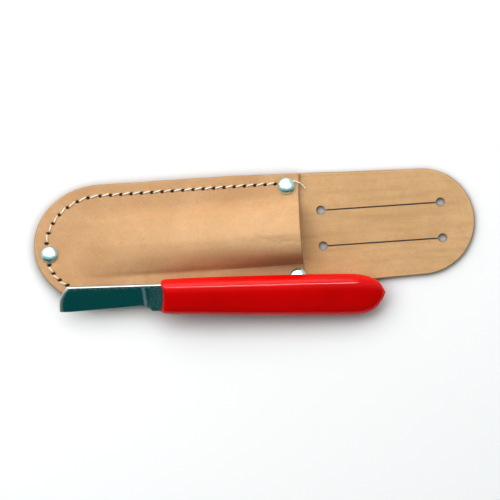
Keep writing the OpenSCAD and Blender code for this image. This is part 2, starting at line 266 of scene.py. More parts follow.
class Bench:
    """A new material's node tree, with short ways to add and join its nodes."""

    def __init__(self, name: str) -> None:
        """Starts a material.

        Args:
            name: The material's name.
        """
        self.material = bpy.data.materials.new(name)
        self.material.use_nodes = True
        self.tree = self.material.node_tree
        self.tree.nodes.clear()
        self.shader = self.add("ShaderNodeBsdfPrincipled")
        output = self.add("ShaderNodeOutputMaterial")
        self.join(self.shader.outputs["BSDF"], output.inputs["Surface"])
        coordinates = self.add("ShaderNodeTexCoord")
        self.millimetres = self.add("ShaderNodeMapping")
        self.millimetres.inputs["Scale"].default_value = (1 / MM,) * 3
        self.join(coordinates.outputs["Object"], self.millimetres.inputs["Vector"])

    def add(self, kind: str, **settings: object) -> bpy.types.Node:
        """Adds a node and sets its own properties.

        Args:
            kind: The node's type.
            settings: Properties of the node.

        Returns:
            The new node.
        """
        node = self.tree.nodes.new(kind)
        for key, value in settings.items():
            setattr(node, key, value)
        return node

    def join(self, start: bpy.types.NodeSocket, end: bpy.types.NodeSocket) -> None:
        """Joins one socket to another."""
        self.tree.links.new(start, end)

    def set(self, **values: object) -> None:
        """Sets the shader's own sockets, with underscores for the spaces in their names."""
        for key, value in values.items():
            self.shader.inputs[key.replace("_", " ")].default_value = value

    def turned(self, scale: tuple[float, float, float], turn: float = 0.0) -> bpy.types.NodeSocket:
        """Coordinates in millimetres, stretched and turned about Z.

        Args:
            scale: How many times finer the pattern is along each axis.
            turn: Turn about Z in degrees, made before the stretch.

        Returns:
            The coordinates' socket.
        """
        turner = self.add("ShaderNodeMapping")
        turner.inputs["Rotation"].default_value = (0, 0, math.radians(turn))
        self.join(self.millimetres.outputs["Vector"], turner.inputs["Vector"])
        stretcher = self.add("ShaderNodeMapping")
        stretcher.inputs["Scale"].default_value = scale
        self.join(turner.outputs["Vector"], stretcher.inputs["Vector"])
        return stretcher.outputs["Vector"]

    def cloud(
        self, scale: tuple[float, float, float] | float, detail: float = 3.0, turn: float = 0.0, rough: float = 0.5
    ) -> bpy.types.NodeSocket:
        """A noise pattern.

        Args:
            scale: Waves per millimetre, one number or one for each axis.
            detail: Octaves of finer noise.
            turn: Turn of the pattern about Z, in degrees.
            rough: Strength of the finer octaves.

        Returns:
            The noise's value, about 0.5 on average.
        """
        steps = (scale,) * 3 if isinstance(scale, (int, float)) else scale
        texture = self.add("ShaderNodeTexNoise")
        texture.inputs["Scale"].default_value = 1.0
        texture.inputs["Detail"].default_value = detail
        texture.inputs["Roughness"].default_value = rough
        self.join(self.turned(steps, turn), texture.inputs["Vector"])
        return texture.outputs["Fac"]

    def ramp(
        self, source: bpy.types.NodeSocket, low: float, high: float, to_low: float = 0.0, to_high: float = 1.0
    ) -> bpy.types.NodeSocket:
        """Stretches a value from one range to another, and clamps it there."""
        node = self.add("ShaderNodeMapRange", clamp=True)
        for key, value in zip(("From Min", "From Max", "To Min", "To Max"), (low, high, to_low, to_high)):
            node.inputs[key].default_value = value
        self.join(source, node.inputs["Value"])
        return node.outputs["Result"]

    def blend(
        self, share: bpy.types.NodeSocket, first: object, second: object, how: str = "MIX"
    ) -> bpy.types.NodeSocket:
        """Blends two colours.

        Args:
            share: How much of the second shows.
            first: A colour or a colour socket.
            second: A colour or a colour socket.
            how: Blender's name for the way of blending.

        Returns:
            The blended colour.
        """
        node = self.add("ShaderNodeMix", data_type="RGBA", blend_type=how)
        self.join(share, node.inputs[0])
        for socket, value in ((node.inputs[6], first), (node.inputs[7], second)):
            if isinstance(value, bpy.types.NodeSocket):
                self.join(value, socket)
            else:
                socket.default_value = (*value, 1.0)
        return node.outputs[2]

    def sum(self, first: bpy.types.NodeSocket, second: bpy.types.NodeSocket, weight: float) -> bpy.types.NodeSocket:
        """Returns the first value plus a weight times the second."""
        node = self.add("ShaderNodeMath", operation="MULTIPLY_ADD")
        self.join(second, node.inputs[0])
        node.inputs[1].default_value = weight
        self.join(first, node.inputs[2])
        return node.outputs[0]

    def mark(self, name: str) -> bpy.types.NodeSocket:
        """Returns the value of a number kept on the mesh's points."""
        return self.add("ShaderNodeAttribute", attribute_name=name).outputs["Fac"]

    def bump(self, height: bpy.types.NodeSocket, depth: float, strength: float = 1.0) -> None:
        """Raises the surface's shading.

        Args:
            height: The relief, from 0 to 1.
            depth: Its depth in millimetres.
            strength: Blender's strength of the relief.
        """
        node = self.add("ShaderNodeBump")
        node.inputs["Distance"].default_value = depth * MM
        node.inputs["Strength"].default_value = strength
        self.join(height, node.inputs["Height"])
        self.join(node.outputs["Normal"], self.shader.inputs["Normal"])

    def colour(self, source: bpy.types.NodeSocket) -> None:
        """Sends a colour to the shader."""
        self.join(source, self.shader.inputs["Base Color"])

    def roughness(self, source: bpy.types.NodeSocket) -> None:
        """Sends a roughness to the shader."""
        self.join(source, self.shader.inputs["Roughness"])


Colour = tuple[float, float, float]


@dataclass(frozen=True)
class LeatherFinish:
    """Natural vegetable-tanned leather: mottled tan, fine grain, faint streaks and scratches, with painted shade in
    the stitch holes and the pocket's fold, and painted light along the edges and on the pocket's top.
    """

    name: str
    pale: Colour
    deep: Colour
    warm: Colour
    streak: float
    scratches: float

    def make(self) -> bpy.types.Material:
        """Returns the leather as a material."""
        bench = Bench(self.name)
        blotch = bench.ramp(bench.cloud(0.035, detail=4.0, rough=0.55), 0.36, 0.64)
        base = bench.blend(blotch, self.deep, self.pale)
        mottle = bench.ramp(bench.cloud(0.16, detail=6.0, rough=0.68), 0.42, 0.64, 0.0, 0.7)
        base = bench.blend(mottle, base, self.warm)
        grain_lines = bench.ramp(bench.cloud((0.03, 0.34, 0.3), detail=4.0), 0.46, 0.74, 0.0, self.streak)
        base = bench.blend(grain_lines, base, (0.33, 0.165, 0.065))
        marks = bench.ramp(bench.cloud((0.055, 1.3, 1.3), detail=3.0, turn=38), 0.63, 0.74, 0.0, self.scratches)
        base = bench.blend(marks, base, (0.86, 0.62, 0.40))
        # Painted light: this mark pales the leather, as a highlight just inside the back panel's rounded edge and as a
        # lighter top where the pocket stands highest.
        painted_light = bench.ramp(bench.mark("painted_light"), 0.0, 1.0, 0.0, 0.55)
        base = bench.blend(painted_light, base, self.pale)
        fibre = bench.ramp(bench.cloud(0.7, detail=5.0, rough=0.7), 0.5, 0.72, 0.0, 0.30)
        base = bench.blend(fibre, base, (0.36, 0.19, 0.085))
        # Darker cut edges and creases; on the pocket this mark also carries painted shade in the fold beside the
        # bulge.
        rim = bench.ramp(bench.mark("rim"), 0.0, 1.0, 0.0, 0.85)
        base = bench.blend(rim, base, (0.27, 0.15, 0.065))
        # Painted shade: the stitch holes are blended to near black.
        base = bench.blend(bench.mark("hole"), base, (0.012, 0.009, 0.006))
        bench.colour(base)
        pores = bench.add("ShaderNodeTexVoronoi", feature="DISTANCE_TO_EDGE")
        pores.inputs["Scale"].default_value = 1.0
        bench.join(bench.turned((1.5, 1.5, 1.5)), pores.inputs["Vector"])
        relief = bench.ramp(pores.outputs["Distance"], 0.0, 0.12)
        relief = bench.sum(relief, bench.cloud(1.1, detail=5.0, rough=0.6), 1.6)
        relief = bench.sum(relief, bench.cloud(0.16, detail=3.0), 3.0)
        bench.bump(relief, 0.09, 0.6)
        bench.roughness(bench.ramp(bench.cloud(0.5, detail=4.0), 0.3, 0.7, 0.48, 0.66))
        bench.set(Specular_IOR_Level=0.18)
        return bench.material


@dataclass(frozen=True)
class ThreadFinish:
    """Waxed cream thread, with a little grime in random patches."""

    name: str = "waxed_thread"
    cream: Colour = (0.95, 0.88, 0.74)
    grime: Colour = (0.58, 0.47, 0.33)

    def make(self) -> bpy.types.Material:
        """Returns the thread as a material."""
        bench = Bench(self.name)
        fuzz = bench.ramp(bench.cloud(1.7, detail=4.0), 0.5, 0.8, 0.0, 0.6)
        bench.colour(bench.blend(fuzz, self.cream, self.grime))
        bench.bump(bench.cloud((7.0, 7.0, 7.0), detail=2.0), 0.03, 0.6)
        bench.roughness(bench.ramp(bench.cloud(0.9), 0.3, 0.7, 0.45, 0.7))
        return bench.material


@dataclass(frozen=True)
class MetalFinish:
    """Bright metal: a tinted mirror with smudges and the fine lines of its grinding."""

    name: str
    bright: Colour
    dull: Colour
    polish: tuple[float, float]
    lines: tuple[float, float, float]
    line_turn: float = 0.0
    line_depth: float = 0.004
    tarnish: float = 0.35

    def make(self) -> bpy.types.Material:
        """Returns the metal as a material."""
        bench = Bench(self.name)
        smudge = bench.ramp(bench.cloud(0.3, detail=5.0, rough=0.6), 0.38, 0.7, 0.0, self.tarnish)
        base = bench.blend(smudge, self.bright, self.dull)
        ground = bench.cloud(self.lines, detail=3.0, turn=self.line_turn)
        base = bench.blend(bench.ramp(ground, 0.5, 0.7, 0.0, 0.25), base, self.dull)
        bench.colour(base)
        satin = bench.mark("satin")
        polish = bench.ramp(bench.cloud(0.8, detail=5.0), 0.3, 0.75, *self.polish)
        bench.roughness(bench.sum(polish, satin, 0.36))
        bench.bump(ground, self.line_depth, 0.5)
        bench.set(Metallic=1.0)
        return bench.material


@dataclass(frozen=True)
class VinylFinish:
    """Dipped red vinyl: glossy, with the soft unevenness that a dipped skin sets with."""

    name: str = "dipped_vinyl"
    red: Colour = (0.77, 0.0006, 0.0006)
    dark_red: Colour = (0.68, 0.0004, 0.0004)

    def make(self) -> bpy.types.Material:
        """Returns the vinyl as a material."""
        bench = Bench(self.name)
        depth = bench.ramp(bench.cloud(0.05, detail=3.0), 0.35, 0.65)
        base = bench.blend(depth, self.red, self.dark_red)
        specks = bench.ramp(bench.cloud(2.2, detail=4.0, rough=0.7), 0.66, 0.78, 0.0, 0.22)
        bench.colour(bench.blend(specks, base, (0.30, 0.0, 0.0)))
        skin = bench.sum(bench.cloud(0.11, detail=2.0), bench.cloud(0.9, detail=3.0), 0.06)
        bench.bump(skin, 0.02, 0.35)
        bench.roughness(bench.ramp(bench.cloud(0.7, detail=5.0), 0.35, 0.75, 0.06, 0.12))
        bench.set(Specular_IOR_Level=0.18, IOR=1.5)
        return bench.material


@dataclass(frozen=True)
class WoodFinish:
    """Bare pale hardwood of the handle's core."""

    name: str = "core_wood"
    early: Colour = (0.56, 0.38, 0.21)
    late: Colour = (0.36, 0.21, 0.10)

    def make(self) -> bpy.types.Material:
        """Returns the wood as a material."""
        bench = Bench(self.name)
        rings = bench.ramp(bench.cloud((0.03, 0.9, 0.9), detail=5.0, turn=3), 0.4, 0.62)
        bench.colour(bench.blend(rings, self.early, self.late))
        bench.bump(bench.cloud((0.1, 3.0, 3.0), detail=3.0, turn=3), 0.05, 0.6)
        bench.roughness(bench.ramp(bench.cloud(0.6), 0.3, 0.7, 0.6, 0.8))
        return bench.material


@dataclass(frozen=True)
class TableFinish:
    """The pale surface that everything lies on, with a painted shadow that darkens it near the pieces."""

    name: str = "pale_table"
    shade: Colour = (0.98, 0.98, 0.98)
    contact: float = 17.0
    darkening: tuple[float, float] = (0.45, 0.97)
    depth: float = 0.52

    def make(self) -> bpy.types.Material:
        """Returns the table's surface as a material."""
        bench = Bench(self.name)
        # Painted shadow: ambient occlusion darkens the table round the pieces, and near black in deep gaps such as the
        # slits and holes.
        near = bench.add("ShaderNodeAmbientOcclusion", samples=16)
        near.inputs["Distance"].default_value = self.contact * MM
        shadow = bench.ramp(near.outputs["AO"], *self.darkening)
        deep = bench.ramp(near.outputs["AO"], 0.0, 0.45, 0.15, 1.0)
        base = bench.blend(bench.cloud(0.01), self.shade, tuple(0.99 * c for c in self.shade))
        base = bench.blend(shadow, tuple(self.depth * c for c in self.shade), base)
        bench.colour(bench.blend(deep, (0.02, 0.015, 0.01), base))
        bench.set(Roughness=0.9, Specular_IOR_Level=0.05)
        return bench.material


class Finish(Enum):
    """The finishes that the pieces are dressed in."""

    POCKET = LeatherFinish("moulded_hide", (0.68, 0.40, 0.198), (0.55, 0.30, 0.130), (0.60, 0.315, 0.135), 0.08, 0.24)
    BACK = LeatherFinish("belt_hide", (0.70, 0.42, 0.195), (0.60, 0.35, 0.15), (0.64, 0.36, 0.15), 0.26, 0.14)
    THREAD = ThreadFinish()
    # The nickel's teal tint is painted reflection: it gives the caps the teal of a dark teal surround.
    NICKEL = MetalFinish(
        "bright_nickel", (0.54, 0.80, 0.79), (0.36, 0.62, 0.62), (0.20, 0.30), (0.5, 0.5, 0.5), line_depth=0.002
    )
    STEEL = MetalFinish(
        "polished_steel", (0.60, 0.64, 0.63), (0.44, 0.50, 0.50), (0.09, 0.20), (2.4, 0.08, 0.5), line_turn=3.0
    )
    PIN = MetalFinish("drawn_pin", (0.70, 0.70, 0.70), (0.5, 0.5, 0.5), (0.25, 0.4), (0.5, 0.5, 2.0))
    VINYL = VinylFinish()
    WOOD = WoodFinish()
    TABLE = TableFinish()

    def dress(self, *pieces: bpy.types.Object) -> None:
        """Dresses pieces in this finish.

        Args:
            pieces: The objects whose only material this becomes.
        """
        material = bpy.data.materials.get(self.value.name) or self.value.make()
        for piece in pieces:
            piece.data.materials.clear()
            piece.data.materials.append(material)


# ---------------------------------------------------------------- sheath


@dataclass(frozen=True)
class Spoke:
    """One line across the leather, from its cut edge in to its middle."""

    edge: Vector
    seam: Vector
    middle: Vector

    def at(self, share: float) -> Vector:
        """Returns the place at a share: 0 is the edge, 1 the seam and 2 the middle."""
        if share <= 1:
            return self.edge.lerp(self.seam, share)
        return self.seam.lerp(self.middle, share - 1)

    def inset(self, share: float) -> float:
        """Returns how far in from the edge the place at a share is."""
        return (self.at(share) - self.edge).length


@dataclass
class SheathPlan:
    """The sheath seen from above: its cut edge, its seam and its rivets, in millimetres."""

    belt_tip: float
    toe_tip: float
    half_width: float
    mouth: float
    leather: float
    rise: float
    rivets: dict[str, Vector]
    belt_radius: float = 28.9
    toe_reach: float = 37.2
    toe_middle: float = -0.8
    toe_widening: float = 0.9
    taper_start: float = -80.0
    seam_inset: float = 6.1
    seam_low_inset: float = 5.7
    seam_toe_reach: float = 31.0
    seam_toe_middle: float = -1.8
    seam_end_inset: float = 5.0
    pitch: float = 5.65
    mouth_bow: float = 1.8
    crest: float = -2.5
    bulge_half: float = 18.8
    upper_spread: float = 1.15
    lower_spread: float = 0.89
    slit_length: float = 65.6
    slit_spacing: float = 19.6
    slit_hole: float = 2.4
    slit_width: float = 0.8
    holes: list[Vector] = field(default_factory=list)
    spots: kdtree.KDTree = field(init=False)

    @classmethod
    def from_frame(cls) -> SheathPlan:
        """Reads the sheath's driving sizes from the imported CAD.

        Returns:
            The plan, with its stitch holes laid out.
        """
        low, high = (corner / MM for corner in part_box("back_panel"))
        _, front_high = (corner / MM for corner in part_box("front_panel"))
        rivets = {}
        for spot in ("toe", "upper", "lower"):
            cap_low, cap_high = (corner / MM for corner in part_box(f"{spot}_rivet_cap"))
            rivets[spot] = ((cap_low + cap_high) / 2).to_2d()
        plan = cls(
            belt_tip=high.x,
            toe_tip=low.x,
            half_width=high.y - 0.1,
            mouth=front_high.x,
            leather=high.z,
            rise=front_high.z - 2 * high.z,
            rivets=rivets,
        )
        plan.lay_out_holes()
        return plan

    @property
    def toe_centre(self) -> float:
        """Where the round toe begins, along X."""
        return self.toe_tip + self.toe_reach

    @property
    def belt_centre(self) -> float:
        """Where the round belt end begins, along X."""
        return self.belt_tip - self.belt_radius

    @property
    def seam_toe_centre(self) -> float:
        """Where the seam begins to curve round the toe."""
        return self.toe_tip + 37.8

    @property
    def top(self) -> float:
        """Height of the stitched margin."""
        return 2 * self.leather

    def side(self, x: float, hand: int) -> float:
        """The cut edge along the straight sides.

        Args:
            x: Place along the sheath.
            hand: 1 for the upper side, -1 for the lower.

        Returns:
            The edge's Y.
        """
        wide = self.toe_middle + hand * (self.half_width + (self.toe_widening if hand > 0 else 0.6))
        if x < self.taper_start:
            share = clamp((x - self.toe_centre) / (self.taper_start - self.toe_centre))
            return lerp(wide, hand * self.half_width, share)
        share = clamp((x - self.taper_start) / (self.belt_centre - self.taper_start))
        return hand * lerp(self.half_width, self.belt_radius, share)

    def seam_side(self, x: float, hand: int) -> float:
        """Returns the straight seam's Y at x, on the upper side for hand 1 and the lower for -1."""
        line = self.half_width - (self.seam_inset if hand > 0 else self.seam_low_inset)
        return hand * min(line, abs(self.side(x, hand)) - self.seam_end_inset)

    def seam_toe(self, angle: float) -> Vector:
        """The seam round the toe.

        Args:
            angle: Degrees above the sheath's middle line, 90 where the upper seam begins to curve.

        Returns:
            The seam's place.
        """
        a = math.radians(abs(angle))
        if angle >= 0:
            height = self.half_width - self.seam_inset - self.seam_toe_middle
            x, y = self.seam_toe_reach * math.cos(a), height * math.sin(a)
        else:
            height = self.half_width - self.seam_low_inset + self.seam_toe_middle
            power = 2 / 2.4
            x = self.seam_toe_reach * max(0.0, math.cos(a)) ** power
            y = -height * math.sin(a) ** power
        return Vector((self.seam_toe_centre - x, self.seam_toe_middle + y))

    def lay_out_holes(self) -> None:
        """Places the stitch holes from the upper mouth rivet round the toe to the lower one."""
        step, first, skipped = 11.75, 78.0, 7
        start = self.rivets["upper"].x - 5.7
        count = math.floor((start - self.seam_toe_centre) / self.pitch)
        upper = [Vector((start - i * self.pitch, self.half_width - self.seam_inset)) for i in range(count + 1)]
        upper += [self.seam_toe(first - k * step) for k in range(skipped)]
        begin = self.seam_toe_centre + 2.4
        count = math.floor((self.rivets["lower"].x - 5.6 - begin) / self.pitch)
        lower = [self.seam_toe(first - k * step) for k in range(skipped + 1, 15)]
        lower += [Vector((begin + i * self.pitch, self.seam_low_inset - self.half_width)) for i in range(count + 1)]
        self.runs = (upper, lower)
        self.holes = upper + lower
        self.spots = kdtree.KDTree(len(self.holes))
        for index, hole in enumerate(self.holes):
            self.spots.insert(hole.to_3d(), index)
        self.spots.balance()

    def toe_spokes(self, count: int) -> list[Spoke]:
        """Returns spokes round the toe, from its upper side to its lower side."""
        spokes = []
        for i in range(1, count):
            angle = 90 - 180 * i / count
            a = math.radians(angle)
            reach = self.half_width + (self.toe_widening if angle > 0 else 0.6)
            edge = Vector((self.toe_centre - self.toe_reach * math.cos(a), self.toe_middle + reach * math.sin(a)))
            spokes.append(Spoke(edge, self.seam_toe(angle), Vector((self.toe_centre, self.toe_middle))))
        return spokes

    def side_spokes(self, places: Sequence[float], hand: int) -> list[Spoke]:
        """Returns spokes across one straight side at the places along X."""
        spokes = []
        for x in places:
            share = clamp((x - self.toe_centre) / (self.mouth - self.toe_centre))
            shift = (self.seam_toe_centre - self.toe_centre) * (1 - clamp(share * 8))
            seam = Vector((x + shift, self.seam_side(x, hand)))
            middle = Vector((x, lerp(self.toe_middle, 0, share)))
            spokes.append(Spoke(Vector((x, self.side(x, hand))), seam, middle))
        return spokes

    def belt_spokes(self, count: int) -> list[Spoke]:
        """Returns spokes round the belt end, from its lower side to its upper side."""
        spokes = []
        for i in range(count + 1):
            a = math.radians(-88 + 176 * i / count)
            out = Vector((math.cos(a), math.sin(a)))
            centre = Vector((self.belt_centre, 0))
            inner = self.belt_radius - self.seam_end_inset
            spokes.append(Spoke(centre + out * self.belt_radius, centre + out * inner, centre))
        return spokes

    def bulge(self, x: float, y: float) -> float:
        """How far the pocket stands off the back leather.

        Args:
            x: Place along the sheath.
            y: Place across it.

        Returns:
            The gap under the pocket, 0 on its stitched margin.
        """
        end = self.rivets["toe"].x + 8.6
        share = clamp((self.mouth - x) / (self.mouth - end))
        along = math.cos(math.pi / 2 * share) ** 1.15
        toe_share = clamp((self.seam_toe_centre - x) / (self.seam_toe_reach - 2))
        half = self.bulge_half * math.sqrt(max(0.01, 1 - toe_share**2))
        off = (y - self.crest) / (half * (self.upper_spread if y > self.crest else self.lower_spread))
        if abs(off) >= 1:
            return 0.0
        if off > 0:
            arch = (1 - off**1.35) * lerp(1, ease((1 - off) / 0.42), 0.8)
        else:
            steep = 1.22 + 0.5 * ease(1 - (self.mouth - x) / 45)
            arch = math.cos(math.pi / 2 * (-off) ** steep) * lerp(1, ease((1 + off) / 0.14), 0.85)
        return (self.rise - 0.12) * along * arch

    def hole_depth(self, x: float, y: float) -> float:
        """Returns how much of a stitch hole is at a place, from 0 to 1 at its middle."""
        spot, _, _ = self.spots.find((x, y, 0))
        along, across = abs(x - spot.x) / 1.2, abs(y - spot.y) / 0.78
        return 1 - ease((math.hypot(along, across) - 0.72) / 0.4)

    def rivet_press(self, x: float, y: float) -> float:
        """Returns how far the rivets press the leather in at a place."""
        away = min((Vector((x, y)) - spot).length for spot in self.rivets.values())
        return 0.22 * (1 - ease((away - 3.9) / 3.2))


EDGE_SHARES = (0.0, 0.015, 0.04, 0.08, 0.13, 0.2, 0.3, 0.42, 0.55, 0.67, 0.77, 0.85, 0.91, 0.955, 1.0)
INNER_SHARES = tuple(1 + s for s in (0.01, 0.022, 0.038, 0.058, 0.085, 0.12, 0.16)) + tuple(
    1 + 0.2 + 0.04 * i for i in range(20)
) + (2.0,)
SHARES = EDGE_SHARES + INNER_SHARES


@dataclass
class LeatherPanel:
    """One cut piece of thick leather, modelled as rings that run in from its edge."""

    plan: SheathPlan
    corner: float = 0.75

    def slab(self, spokes: Sequence[Spoke], closed: bool) -> tuple[bmesh.types.BMesh, list, list]:
        """Makes the panel's flat slab, whose faces a later step bends.

        Args:
            spokes: Lines across the panel, in order round it.
            closed: Whether the last spoke meets the first.

        Returns:
            The mesh, its upper points and its lower points.
        """
        line = list(spokes) + ([spokes[0]] if closed else [])
        bm = bent_sheet(
            len(line),
            len(SHARES),
            lambda column, row: line[column].at(SHARES[row]).to_3d(),
            "inset",
            lambda column, row: line[column].inset(SHARES[row]),
        )
        for name in ("hole", "rim", "painted_light"):
            bm.verts.layers.float.new(name)
        made = bmesh.ops.extrude_face_region(bm, geom=bm.faces[:], use_keep_orig=True)
        upper = [item for item in made["geom"] if isinstance(item, bmesh.types.BMVert)]
        above = set(upper)
        lower = [vert for vert in bm.verts if vert not in above]
        for vert in upper:
            vert.co.z = self.plan.leather
        return bm, upper, lower

    def round_wall(self, bm: bmesh.types.BMesh, upper: Sequence[bmesh.types.BMVert]) -> None:
        """Splits the cut edge's wall into finer faces, marks them as rim and clears their stitch-hole mark.

        Args:
            bm: The panel's mesh, after its faces have their final heights.
            upper: The panel's upper points.
        """
        above = set(upper)
        walls = [edge for edge in bm.edges if (edge.verts[0] in above) != (edge.verts[1] in above)]
        made = bmesh.ops.subdivide_edges(bm, edges=walls, cuts=3, use_grid_fill=True)
        rim = bm.verts.layers.float["rim"]
        hole = bm.verts.layers.float["hole"]
        for vert in (item for item in made["geom_inner"] if isinstance(item, bmesh.types.BMVert)):
            vert[rim] = 1.0
            vert[hole] = 0.0
        bmesh.ops.recalc_face_normals(bm, faces=bm.faces)


@dataclass
class BackLeather(LeatherPanel):
    """The long back panel, with the belt slits, a thread groove and the rivets' seats."""

    name: str = "back_leather"
    spacing: float = 0.9

    def build(self) -> bpy.types.Object:
        """Models the panel.

        Returns:
            The finished piece.
        """
        plan = self.plan
        straight = plan.belt_centre - plan.toe_centre
        count = round(straight / self.spacing)
        places = [plan.toe_centre + straight * i / count for i in range(count + 1)]
        spokes = plan.side_spokes(places[::-1], 1) + plan.toe_spokes(130)
        spokes += plan.side_spokes(places, -1) + plan.belt_spokes(100)
        bm, upper, lower = self.slab(spokes, closed=True)
        inset = bm.verts.layers.float["inset"]
        rim, painted_light = (bm.verts.layers.float[name] for name in ("rim", "painted_light"))
        for vert in upper:
            x, y = vert.co.xy
            open_part = ease((x - plan.mouth - 1) / 6)
            sag = 0.10 * ripple(x, y, 24, 3.1) + 0.05 * ripple(x, y, 7, 8.4)
            vert.co.z = plan.leather - round_over(vert[inset], self.corner) + sag * open_part
            vert[rim] = 0.9 * (1 - ease(vert[inset] / 0.6))
            # Painted highlight: a pale line just inside the rounded cut edge.
            vert[painted_light] = ease((vert[inset] - 0.35) / 0.35) * (1 - ease((vert[inset] - 0.9) / 0.5))
        for vert in lower:
            vert.co.z = round_over(vert[inset], self.corner) + self.groove(vert.co.xy)
            vert[rim] = 0.75 * (1 - ease(vert[inset] / 0.9))
        self.round_wall(bm, upper)
        self.trim_edge(bm)
        piece = as_piece(bm, self.name)
        cut_away(piece, self.punches())
        cut_away(piece, self.slits())
        return piece

    def trim_edge(self, bm: bmesh.types.BMesh) -> None:
        """Makes the cut edge a little uneven, as a hand-cut one is.

        Args:
            bm: The panel's mesh.
        """
        inset = bm.verts.layers.float["inset"]
        for vert in bm.verts:
            x, y = vert.co.xy
            near = 1 - ease(vert[inset] / 5)
            if near > 0:
                vert.co.y += 0.16 * near * ripple(x, y, 15, 5.5)

    def groove(self, place: Vector) -> float:
        """Returns the depth of the rear thread's groove at a place."""
        plan = self.plan
        x, y = place
        if x > plan.rivets["lower"].x - 6:
            return 0.0
        if x > plan.seam_toe_centre:
            away = min(abs(y - plan.seam_side(x, 1)), abs(y - plan.seam_side(x, -1)))
        else:
            spot, _, near = plan.spots.find((x, y, 0))
            away = min(near, self.from_curve(place))
        return 0.95 * (1 - ease((away - 0.3) / 0.45))

    def from_curve(self, place: Vector) -> float:
        """Returns how far a place is from the seam's curve round the toe."""
        plan = self.plan
        offset = place - Vector((plan.seam_toe_centre, plan.seam_toe_middle))
        hand = 1 if offset.y >= 0 else -1
        height = plan.half_width - (plan.seam_inset if hand > 0 else plan.seam_low_inset)
        height -= hand * plan.seam_toe_middle
        power = 2.0 if hand > 0 else 2.4
        level = (abs(offset.x) / plan.seam_toe_reach) ** power + (abs(offset.y) / height) ** power
        return abs(level ** (1 / power) - 1) * offset.length if level > 0 else height

    def punches(self) -> bmesh.types.BMesh:
        """Makes what the punches cut out of the panel: the slits' end holes and the rivets' seats.

        Returns:
            The cutters as one mesh.
        """
        plan = self.plan
        thick, flare = plan.leather, 0.28
        wide = plan.slit_hole + flare
        punch = (
            (0, -2), (wide, -2), (wide, 0), (plan.slit_hole, flare),
            (plan.slit_hole, thick - flare), (wide, thick + 0.08), (wide, thick + 2), (0, thick + 2),
        )
        seat = ((0, -2), (4.66, -2), (4.66, 1.02), (1.56, 1.02), (1.56, thick + 2), (0, thick + 2))
        places = [(punch, Vector((i * plan.slit_length / 2, k * plan.slit_spacing / 2))) for i in (-1, 1) for k in (-1, 1)]
        places += [(seat, spot) for spot in plan.rivets.values()]
        parts = []
        for profile, spot in places:
            part = spun(profile, 40)
            bmesh.ops.translate(part, vec=spot.to_3d(), verts=part.verts)
            parts.append(part)
        return joined(parts)

    def slits(self) -> bmesh.types.BMesh:
        """Makes the two knife cuts that a belt passes through.

        Returns:
            The cutters as one mesh.
        """
        plan = self.plan
        parts = []
        for hand in (-1, 1):
            slit = bmesh.new()
            bmesh.ops.create_cube(slit, size=1.0)
            bmesh.ops.scale(slit, vec=(plan.slit_length, plan.slit_width, plan.leather + 4), verts=slit.verts)
            bmesh.ops.translate(slit, vec=(0, hand * plan.slit_spacing / 2, plan.leather / 2), verts=slit.verts)
            parts.append(slit)
        return joined(parts)


